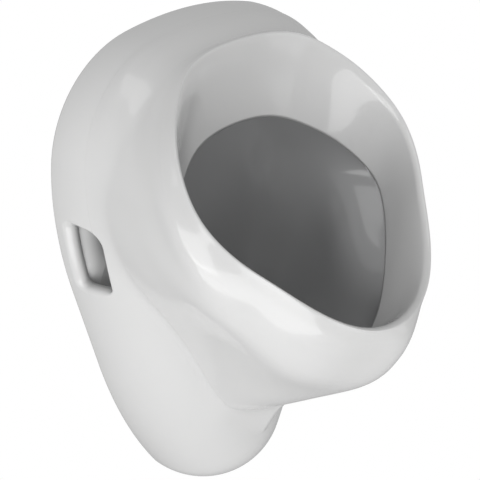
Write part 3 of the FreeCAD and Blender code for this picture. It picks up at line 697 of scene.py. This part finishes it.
def skin_x(yz):
    """How far out the skin lies at points of a side view."""
    x = np.full(len(yz), HALF_WIDTH - 5.0)
    for _ in range(SKIN_STEPS):
        points = np.column_stack([x, yz])
        away = points - CENTRE
        far = np.linalg.norm(away, axis=1)
        rays = away / far[:, None]
        reach = skin_reach(rays, np.full(len(rays), CLEAR_OF_CREST))
        x = x + (reach - far) / rays[:, 0]
    return x


# %% Cutter with a flared lip
BACK_START = 12.0                  # behind the front edge, where the lip begins to widen
FOOT_START, FOOT_BLEND = 14.0, 12.0  # above the foot, where it begins, and over what height
FRONT_BLEND = 10.0                 # behind the front edge, over which the foot's lip grows
LIP_ANGLES = (0, 12, 24, 36, 48, 60, 70, 80)
LIP_END, RUN_OUT, RUN_OVER = 0.83, 2.2, 0.35  # where a last ring leaves the skin


def slot_cutter(side):
    """Rings of the slot from inside the body out past its skin, flaring along an arc."""
    inner = slot_outline()
    along = np.roll(inner, -1, 0) - np.roll(inner, 1, 0)
    outward = np.column_stack([along[:, 1], -along[:, 0]])
    outward /= np.linalg.norm(outward, axis=1)[:, None]
    start = SLOT_FRONT + BACK_START
    to_back = smooth_step((inner[:, 0] - start) / (SLOT_BACK - start))
    to_foot = (smooth_step((SLOT_LOW + FOOT_START - inner[:, 1]) / FOOT_BLEND)
               * smooth_step((inner[:, 0] - SLOT_FRONT) / FRONT_BLEND))
    lip = SLOT_LIP + (SLOT_SOFT_LIP - SLOT_LIP) * np.maximum(to_back, to_foot)
    rings = [np.column_stack([np.full(len(inner), SLOT_INNER_X), inner])]
    for degrees in LIP_ANGLES:
        turn = math.radians(degrees)
        yz = inner + outward * (lip * (1 - math.cos(turn)))[:, None]
        rings.append(np.column_stack([skin_x(yz) - lip * (1 - math.sin(turn)), yz]))
    yz = inner + outward * (lip * LIP_END + RUN_OUT)[:, None]
    rings.append(np.column_stack([skin_x(yz) + RUN_OVER, yz]))
    rings.append(np.column_stack([np.full(len(yz), BEYOND_SKIN_X), yz]))
    rings = np.array(rings) * (side, 1, 1)
    caps = [np.repeat(ring.mean(0)[None], len(ring), 0) for ring in (rings[0], rings[-1])]
    return mesh_from_rows("slot_cutter", np.concatenate([caps[:1], rings, caps[1:]]),
                          closed=False)


MERGE, VANISH = 1e-6, 1e-7          # metres within which points merge and edges vanish


def cleaned(piece):
    """Merges doubled points and points the faces outwards."""
    work = bmesh.new()
    work.from_mesh(piece.data)
    bmesh.ops.remove_doubles(work, verts=work.verts, dist=MERGE)
    bmesh.ops.dissolve_degenerate(work, edges=work.edges, dist=VANISH)
    bmesh.ops.recalc_face_normals(work, faces=work.faces)
    work.to_mesh(piece.data)
    work.free()
    return piece


def cut_away(piece, cutter):
    """Boolean difference, applied, and the cutter removed."""
    tool = piece.modifiers.new("cut", "BOOLEAN")
    tool.operation, tool.solver, tool.object = "DIFFERENCE", "MANIFOLD", cutter
    graph = bpy.context.evaluated_depsgraph_get()
    result = bpy.data.meshes.new_from_object(piece.evaluated_get(graph))
    piece.modifiers.clear()
    old = piece.data
    piece.data = result
    bpy.data.meshes.remove(old)
    bpy.data.objects.remove(cutter)


for side in (1, -1):
    before = len(ceramic.data.polygons)
    cut_away(ceramic, cleaned(slot_cutter(side)))
    print("slot on side", side, "faces", before, "->", len(ceramic.data.polygons))

# %% [markdown]
# ## Fixing lugs
#
# Behind each slot a thick ear of the casting carries the wall stud. It is a ring of quads round
# the stud hole, and its outer end is buried in the side wall.

# %% Lugs round the stud holes
FIXING_X, LUG_DEPTH, LUG_TOP, LUG_FOOT, LUG_INNER_X = 115.0, 14.0, 29.0, 68.0, 91.0
STUD_SLEEVE_R, LUG_COLUMNS, CORNER_POINTS = 8.1, 96, 8
LUG_ROUND, LUG_CORNER, LUG_OUTER_X = 2.0, 6.0, 165.0
LUG_END_R = 1.0                   # corners of its buried end
LUG_BURIED = 6.0                  # how far from the outer skin its outer end stops
LUG_BACK = -0.3                   # its back lies a hair in front of the wall plane


def lug_rings(side):
    """Rings from the stud hole over the lug's face and down its rounded edge."""
    wall_line = half_outline(LUG_BURIED)
    angles = np.linspace(0, 2 * math.pi, LUG_COLUMNS, endpoint=False)
    circle = np.column_stack([np.cos(angles), np.sin(angles)])

    def outline(inset):
        """Rounded oblong, read at the same headings from the stud hole as the hole itself."""
        low_x, high_x = LUG_INNER_X + inset, LUG_OUTER_X
        top, foot = LUG_TOP - inset, inset - LUG_FOOT
        corner = LUG_CORNER - inset
        points = []
        for cx, cz, start in ((high_x - LUG_END_R, top - LUG_END_R, 0),
                              (low_x + corner, top - corner, 90),
                              (low_x + corner, foot + corner, 180),
                              (high_x - LUG_END_R, foot + LUG_END_R, 270)):
            radius = corner if cx < FIXING_X else LUG_END_R
            for turn in np.radians(np.linspace(start, start + 90, CORNER_POINTS)):
                points.append((cx + radius * math.cos(turn), cz + radius * math.sin(turn)))
        points = np.array(points)
        heading = np.arctan2(points[:, 1], points[:, 0] - FIXING_X)
        order = np.argsort(heading)
        around = (angles + math.pi) % (2 * math.pi) - math.pi
        return np.column_stack([np.interp(around, heading[order], points[order, k],
                                          period=2 * math.pi) for k in (0, 1)])

    def place(xz, y):
        """Ring at one distance from the wall, kept inside the side wall's skin."""
        limit = np.interp(xz[:, 1], wall_line[::-1, 1], wall_line[::-1, 0])
        return np.column_stack([np.minimum(xz[:, 0], limit) * side, np.full(len(xz), y),
                                xz[:, 1]])

    hole = circle * STUD_SLEEVE_R + (FIXING_X, 0)
    rings = [place(hole, LUG_BACK), place(hole, -LUG_DEPTH)]
    for degrees in (90, 60, 30, 0):
        turn = math.radians(degrees)
        rings.append(place(outline(LUG_ROUND * (1 - math.cos(turn))),
                           -LUG_DEPTH + LUG_ROUND * (1 - math.sin(turn))))
    rings.append(place(outline(0.0), LUG_BACK))
    return np.array(rings)


lugs = [mesh_from_rows("fixing_lug_" + word, lug_rings(side))
        for word, side in (("right", 1), ("left", -1))]
print("lugs:", [len(lug.data.polygons) for lug in lugs])

# %% [markdown]
# ## The bowl in painted shade
#
# The bowl hangs below the sharp edge of the collar. Its grey glaze is painted shade: it darkens
# the bowl to stand for the shadow deep in the mouth. Its sections turn from the slope of the rim
# to level at the drain. The inside, the drain hole, the underside and the outside are one closed
# ring of quads again.

# %% Rings of the grey bowl
EDGE_STEP, BASIN_TOP = 2.0, 25.7
BASIN_ROWS, OUTSIDE_ROWS = 84, 50
DRAIN_ROUND, DRAIN_RISE, HOLE_ROUND, UNDER_ROUND = 3.0, 3.2, 0.8, 2.0
# Rear and front end as Y and Z, half width, share of ROUND_SHAPE.
BASIN = [((-21.0, 45.0), (-203.0, -110.0), 116.0, 0.0),
         ((-16.0, -15.0), (-182.0, -131.0), 100.0, 0.0),
         ((-13.0, -75.0), (-154.0, -151.0), 84.0, 0.15),
         ((-10.5, -150.0), (-112.0, -178.0), 55.0, 0.5)]


def drain_ring(radius, z):
    """Level circle about the drain's axis."""
    ring = ring_of(ROUND_SHAPE)
    y = TRAP_Y + radius - 2 * radius * ring[:, 1]
    return np.column_stack([ring[:, 0] * radius, y, np.full(len(ring), z)])


def basin_rings(skin):
    """Sections of the bowl from the sharp edge down, grown by the thickness of its wall."""
    rings = [rim_ring(BASIN_SHAPE, COLLAR_DEPTH, EDGE_HALF + EDGE_STEP + skin, BASIN_TOP - skin,
                      EDGE_END + EDGE_STEP + skin)]
    for back, front, half, share in BASIN:
        ring = ring_of(mix_shapes(FOOT_SHAPE, ROUND_SHAPE, share))
        back, front = np.array(back), np.array(front)
        far = np.linalg.norm(front - back)
        run = (front - back) / far
        yz = back - run * skin + np.outer(ring[:, 1] * (far + 2 * skin), run)
        rings.append(np.column_stack([ring[:, 0] * (half + skin), yz]))
    return rings


def through(rings, rows):
    """A set number of rings along splines through the given ones."""
    stack = np.array(rings)
    gaps = np.linalg.norm(np.diff(stack, axis=0), axis=2).mean(1)
    at = np.concatenate([[0], np.cumsum(gaps)])
    return spline(at, stack, np.linspace(0, at[-1], rows))


inside = through(basin_rings(0.0) + [drain_ring(DRAIN_R + DRAIN_ROUND, DRAIN_Z + DRAIN_RISE),
                                     drain_ring(DRAIN_R - DRAIN_ROUND, DRAIN_Z)], BASIN_ROWS)
under_z = DRAIN_Z - DRAIN_FLOOR
outside = through(basin_rings(BOWL_WALL) + [drain_ring(DRAIN_R + BOWL_WALL,
                                                       under_z + UNDER_ROUND)], OUTSIDE_ROWS)
hole = [drain_ring(DRAIN_HOLE_R + HOLE_ROUND, DRAIN_Z),
        drain_ring(DRAIN_HOLE_R, DRAIN_Z - HOLE_ROUND), drain_ring(DRAIN_HOLE_R, under_z),
        drain_ring(DRAIN_R + BOWL_WALL - UNDER_ROUND, under_z)]
# This bowl later takes the grey glaze, which is painted shade for the shadow inside the mouth.
bowl_rows = np.concatenate([inside, np.array(hole), outside[::-1]])
painted_shade_bowl = mesh_from_rows("painted_shade_bowl", bowl_rows)
print("grey bowl:", len(painted_shade_bowl.data.polygons), "quads")

# %% [markdown]
# ## The inlet boss
#
# The spray nozzle passes through a short raised ring at the back of the bowl, glazed grey like the
# bowl as painted shade. It is turned as one closed ring of quads, rounded where it stands off the
# bowl.

# %% Boss round the nozzle
INLET_Z = 82.0
BOSS_R, BOSS_FRONT, BOSS_BACK, BOSS_HOLE_R, BOSS_ROUND = 17.0, -33.0, -21.0, 9.8, 2.0
BOSS_HOLE_ROUND = 0.6


def turned_rings(profile, height, count=96):
    """Rings about an axis along Y at a height; profile holds radius and Y."""
    angles = np.linspace(0, 2 * math.pi, count, endpoint=False)
    return np.array([np.column_stack([r * np.cos(angles), np.full(count, y),
                                      height + r * np.sin(angles)]) for r, y in profile])


boss_profile = [(BOSS_HOLE_R, BOSS_BACK), (BOSS_HOLE_R, BOSS_FRONT + BOSS_HOLE_ROUND),
                (BOSS_HOLE_R + BOSS_HOLE_ROUND, BOSS_FRONT)]
boss_profile += [(BOSS_R - BOSS_ROUND * (1 - math.sin(math.radians(a))),
                  BOSS_FRONT + BOSS_ROUND * (1 - math.cos(math.radians(a))))
                 for a in (0, 30, 60, 90)]
boss_profile += [(BOSS_R, BOSS_BACK)]
# The boss takes the grey glaze later, painted shade like the bowl round it.
inlet_boss = mesh_from_rows("inlet_boss", turned_rings(boss_profile, INLET_Z))
print("boss:", len(inlet_boss.data.polygons), "quads")

# %% [markdown]
# ## Finishes
#
# Shader maths is written as plain expressions. One small class wraps a socket, so that adding or
# multiplying two of them adds the Math node for it.

# %% A small language for shader nodes
class Value:
    """A socket of a material's node tree that can be added and multiplied."""

    def __init__(self, tree, socket):
        self.tree, self.socket = tree, socket

    def math(self, operation, other, swap=False):
        first, second = (other, self) if swap else (self, other)
        return node(self.tree, "ShaderNodeMath", {"operation": operation},
                    {0: first, 1: second})

    def __add__(self, other):
        return self.math("ADD", other)

    def __radd__(self, other):
        return self.math("ADD", other, True)

    def __mul__(self, other):
        return self.math("MULTIPLY", other)

    def __rmul__(self, other):
        return self.math("MULTIPLY", other, True)


def node(tree, kind, settings=None, sockets=None, output=0):
    """Adds a node, sets its settings, then fills or links its sockets. Gives one output."""
    made = tree.nodes.new(kind)
    for key, value in (settings or {}).items():
        setattr(made, key, value)
    for key, value in (sockets or {}).items():
        if isinstance(value, Value):
            tree.links.new(value.socket, made.inputs[key])
        else:
            made.inputs[key].default_value = value
    return Value(tree, made.outputs[output])


def new_finish(name, constants):
    """A material with its Principled shader; constants are set on the shader itself."""
    material = bpy.data.materials.new(name)
    material.use_nodes = True
    tree = material.node_tree
    shader = tree.nodes["Principled BSDF"]
    for key, value in constants.items():
        shader.inputs[key].default_value = value
    place = node(tree, "ShaderNodeTexCoord", output=3)
    return material, tree, shader, place


def feed(tree, shader, socket, value):
    """Links a value that varies over the surface to a socket of the shader."""
    tree.links.new(value.socket, shader.inputs[socket])


def noise(tree, place, scale, detail):
    """Cloudy noise, with its scale per metre and the number of finer layers."""
    return node(tree, "ShaderNodeTexNoise", {"noise_dimensions": "3D"},
                {"Vector": place, "Scale": scale, "Detail": detail, "Roughness": 0.5})


def between(tree, factor, first, second):
    """A colour part of the way between two."""
    return node(tree, "ShaderNodeMix", {"data_type": "RGBA"},
                {0: factor, 6: first, 7: second}, output=2)


def bumped(tree, height, strength, distance):
    """Surface direction changed by a height, for relief too fine to model."""
    return node(tree, "ShaderNodeBump", None,
                {"Strength": strength, "Distance": distance, "Height": height})


# %% White glaze, and a grey glaze that paints shade
def glaze(name, thin, thick, rough, wave):
    """Glassy glaze: a slight change of tone with its depth, and the faint waves of its pull."""
    material, tree, shader, place = new_finish(
        name, {"Coat Roughness": 0.03, "Coat Weight": 0.6, "IOR": 1.52})
    cloud = noise(tree, place, 9.0, 2.0)
    feed(tree, shader, "Base Color", between(tree, cloud, thin, thick))
    feed(tree, shader, "Roughness", noise(tree, place, 60.0, 2.0) * 0.05 + rough)
    pull = noise(tree, place, 22.0, 1.0)
    feed(tree, shader, "Normal", bumped(tree, pull, 0.25, wave))
    return material


white_glaze = glaze("white_glaze", (0.72, 0.72, 0.715, 1), (0.76, 0.76, 0.76, 1), 0.16, 0.0004)
# The grey glaze is painted shade: its dark base colour stands for the shadow inside the bowl and
# on the inlet boss.
grey_glaze = glaze("grey_glaze", (0.37, 0.372, 0.376, 1), (0.42, 0.422, 0.426, 1), 0.12, 0.0004)
for piece, finish in ((ceramic, white_glaze), (painted_shade_bowl, grey_glaze), (inlet_boss, grey_glaze),
                      (lugs[0], white_glaze), (lugs[1], white_glaze)):
    piece.data.materials.clear()
    piece.data.materials.append(finish)
print("glazed pieces:", ceramic.name, painted_shade_bowl.name)

# %% Finishes of the fittings
def dimmed(colour, share):
    """A darker tone of a colour."""
    return [part * share for part in colour[:3]] + [1]


def metal(name, colour, rough, grain):
    """Plated or brushed metal: its shine varies over a very fine grain."""
    material, tree, shader, place = new_finish(name, {"Metallic": 1.0})
    mottle = noise(tree, place, 180.0, 2.0)
    feed(tree, shader, "Base Color", between(tree, mottle, colour, dimmed(colour, 0.92)))
    feed(tree, shader, "Roughness", noise(tree, place, 300.0, 2.0) * grain + rough)
    return material


def polymer(name, colour, rough, texture):
    """Moulded plastic or rubber: a fine grain, and a slight mottle of its colour."""
    material, tree, shader, place = new_finish(name, {"Coat Weight": 0.0})
    mottle = noise(tree, place, 40.0, 2.0)
    feed(tree, shader, "Base Color", between(tree, mottle, colour, dimmed(colour, 0.94)))
    feed(tree, shader, "Roughness", noise(tree, place, 400.0, 3.0) * 0.12 + rough)
    feed(tree, shader, "Normal", bumped(tree, noise(tree, place, 900.0, 2.0), texture, 0.0002))
    return material


# Slot, kind of finish, colour, roughness, and how strong the grain is.
finishes = {slot: make(slot, *rest) for slot, make, *rest in (
    ("chrome", metal, (0.80, 0.81, 0.83, 1), 0.06, 0.05),
    ("brass", metal, (0.72, 0.52, 0.24, 1), 0.28, 0.15),
    ("steel", metal, (0.58, 0.59, 0.60, 1), 0.22, 0.15),
    ("white_plastic", polymer, (0.78, 0.78, 0.76, 1), 0.38, 0.15),
    ("grey_plastic", polymer, (0.30, 0.31, 0.32, 1), 0.42, 0.2),
    ("black_rubber", polymer, (0.022, 0.022, 0.023, 1), 0.62, 0.4))}
for part in frame["record"]["subparts"]:
    finish = finishes.get(part["material_slot"])
    cad = nodes.get(part["node"])
    if finish and cad:
        cad.data.materials.clear()
        cad.data.materials.append(finish)
print("finishes:", sorted(finishes))

# %% [markdown]
# ## Floor, light and camera
#
# The object hangs on no wall in its picture, so the stage is a pale floor far below. Soft areas of
# light stand at the left, above, low in front and, weakest, at the right of the front. The camera
# stands left of the front and looks down at about thirty degrees.

# %% Stage
def stage_material(name, shade):
    """White where the camera sees it, and a plain pale floor for the light."""
    material = bpy.data.materials.new(name)
    material.use_nodes = True
    tree = material.node_tree
    tree.nodes.clear()
    path, plain, seen, mix, out = [tree.nodes.new("ShaderNode" + kind) for kind in (
        "LightPath", "BsdfDiffuse", "Emission", "MixShader", "OutputMaterial")]
    plain.inputs["Color"].default_value = (shade, shade, shade, 1)
    seen.inputs["Strength"].default_value = 1.0
    for source, target in ((path.outputs["Is Camera Ray"], mix.inputs[0]),
                           (plain.outputs[0], mix.inputs[1]), (seen.outputs[0], mix.inputs[2]),
                           (mix.outputs[0], out.inputs[0])):
        tree.links.new(source, target)
    return material


FLOOR_Z, FLOOR_HALF = -0.9, 6.0
floor_mesh = bpy.data.meshes.new("floor")
floor_mesh.from_pydata([(x * FLOOR_HALF, y * FLOOR_HALF, FLOOR_Z)
                        for x, y in ((-1, -1), (1, -1), (1, 1), (-1, 1))], [], [(0, 1, 2, 3)])
floor = added("floor", floor_mesh)
floor_mesh.materials.append(stage_material("floor_white", 0.75))

# %% World and lamps
world = bpy.data.worlds.new("studio")
world.use_nodes = True
bpy.context.scene.world = world
world_nodes, world_links = world.node_tree.nodes, world.node_tree.links
backdrop = world_nodes["Background"]
path = world_nodes.new("ShaderNodeLightPath")
strength = world_nodes.new("ShaderNodeMix")
strength.data_type = "FLOAT"
AROUND, SEEN = 0.45, 1.0           # the sky as light, and as the camera sees it
strength.inputs[2].default_value = AROUND
strength.inputs[3].default_value = SEEN
world_links.new(path.outputs["Is Camera Ray"], strength.inputs[0])
world_links.new(strength.outputs[0], backdrop.inputs["Strength"])
backdrop.inputs["Color"].default_value = (1, 1, 1, 1)
AIM = Vector((0.0, -0.11, -0.06))


def soft_light(name, place, size, power):
    """A rectangular area of light that points at the middle of the object."""
    lamp = bpy.data.lights.new(name, "AREA")
    lamp.shape = "RECTANGLE"
    lamp.size, lamp.size_y = size
    lamp.energy = power
    holder = added(name, lamp)
    holder.location = place
    holder.rotation_euler = (AIM - Vector(place)).to_track_quat("-Z", "Y").to_euler()


soft_light("key", (-1.9, -1.1, 0.2), (1.5, 1.5), 13.0)
soft_light("top", (-0.8, -0.5, 2.0), (1.3, 1.3), 5.0)
soft_light("low", (-0.9, -0.9, -0.8), (1.5, 1.5), 12.0)
soft_light("fill", (0.9, -1.9, -0.2), (1.2, 1.4), 3.0)

# %% Camera
CAMERA_TURN, CAMERA_DOWN = math.radians(48.0), math.radians(29.5)
lens = bpy.data.cameras.new("camera")
lens.lens, lens.sensor_width = 57.0, 36.0
lens.clip_start = 0.02
camera = added("camera", lens)
camera.location = (-0.49025, -0.5022, 0.3334)
forward = Vector((math.sin(CAMERA_TURN) * math.cos(CAMERA_DOWN),
                  math.cos(CAMERA_TURN) * math.cos(CAMERA_DOWN), -math.sin(CAMERA_DOWN)))
camera.rotation_euler = forward.to_track_quat("-Z", "Y").to_euler()
bpy.context.scene.camera = camera
bpy.context.scene.view_settings.view_transform = "Standard"

# %% [markdown]
# ## Bodies and hidden CAD parts
#
# Each piece is attached to the body it moves with, and the CAD node it stands for is hidden.
# The finish listed with each piece is not read here; the finishes were set earlier.

# %% Pieces, the CAD node each stands for, and a finish slot that is not read
# The bowl and the boss carry the grey glaze, which is painted shade for the inside of the mouth.
for piece, cad_node, slot in ((ceramic, "ceramic_body", "white_glaze"),
                              (lugs[0], "ceramic_body", "white_glaze"),
                              (lugs[1], "ceramic_body", "white_glaze"),
                              (painted_shade_bowl, "inner_bowl", "grey_glaze"),
                              (inlet_boss, "inner_bowl", "grey_glaze")):
    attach(piece, "urinal")
    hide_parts(cad_node)
